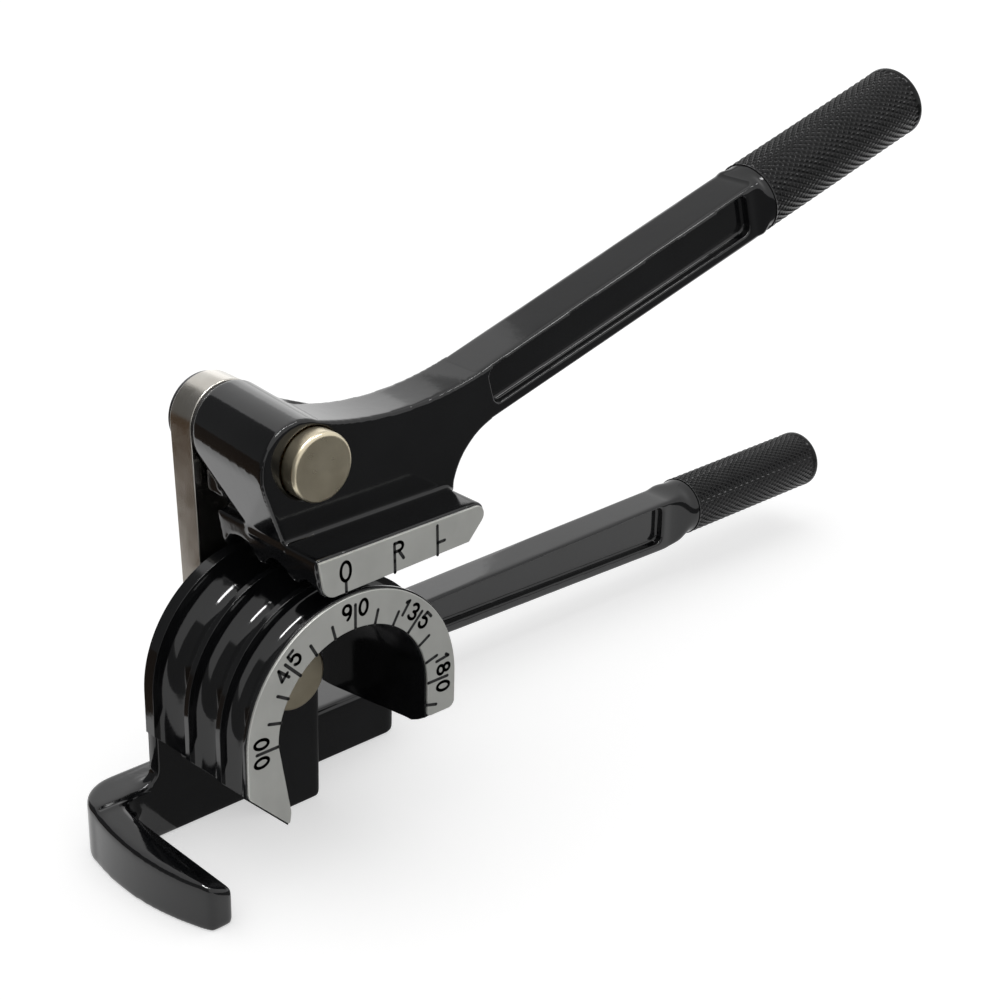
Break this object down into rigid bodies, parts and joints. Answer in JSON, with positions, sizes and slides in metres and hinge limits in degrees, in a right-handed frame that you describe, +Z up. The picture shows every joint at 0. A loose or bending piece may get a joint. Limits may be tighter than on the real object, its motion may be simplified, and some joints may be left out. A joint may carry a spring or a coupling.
{
  "type": "tube bender",
  "caption": "Hand lever tube bender: a half-round grooved forming die with a degree scale and hook, and a grooved shoe on a lever that a pivoting link carries round it.",
  "frame": {"origin": "on the floor under the die axis, in the plane where the link seats against the die's rear washer", "axes": "+X along the lower handle, +Y from the graduated face to the link, +Z up"},
  "size_m": [0.2203, 0.0548, 0.1225],
  "materials": {
    "painted_casting": "gloss black paint",
    "painted_grip": "black painted knurl",
    "graduated_face": "satin, with dark degree marks",
    "nickel_plate": "nickel plate",
    "bush_bronze": "plain bronze",
    "spring_steel": "dark spring steel"
  },
  "bodies": {
    "root": {"forming_die": "painted_casting", "die_scale": "graduated_face", "foot_hook": "painted_casting", "lower_handle": "painted_casting", "lower_grip": "painted_grip", "lower_pin": "nickel_plate", "lower_washer": "spring_steel", "lower_rear_washer": "spring_steel", "lower_clip": "spring_steel"},
    "link": {"link_bar": "nickel_plate", "lower_bush": "bush_bronze", "upper_pin": "nickel_plate", "upper_rear_washer": "spring_steel", "upper_clip": "spring_steel"},
    "lever": {"lever_arm": "painted_casting", "bending_shoe": "painted_casting", "shoe_scale": "graduated_face", "upper_grip": "painted_grip", "upper_bush": "bush_bronze", "upper_washer": "spring_steel"}
  },
  "joints": [
    {"name": "link_swing", "type": "hinge", "parent": "root", "child": "link", "pos_m": [0, 0, 0.03], "axis": [0, 1, 0], "range_deg": [-85.5, 94.5]},
    {"name": "lever_swivel", "type": "hinge", "parent": "link", "child": "lever", "pos_m": [-0.00185, 0, 0.07606], "axis": [0, -1, 0], "range_deg": [0, 100]}
  ]
}
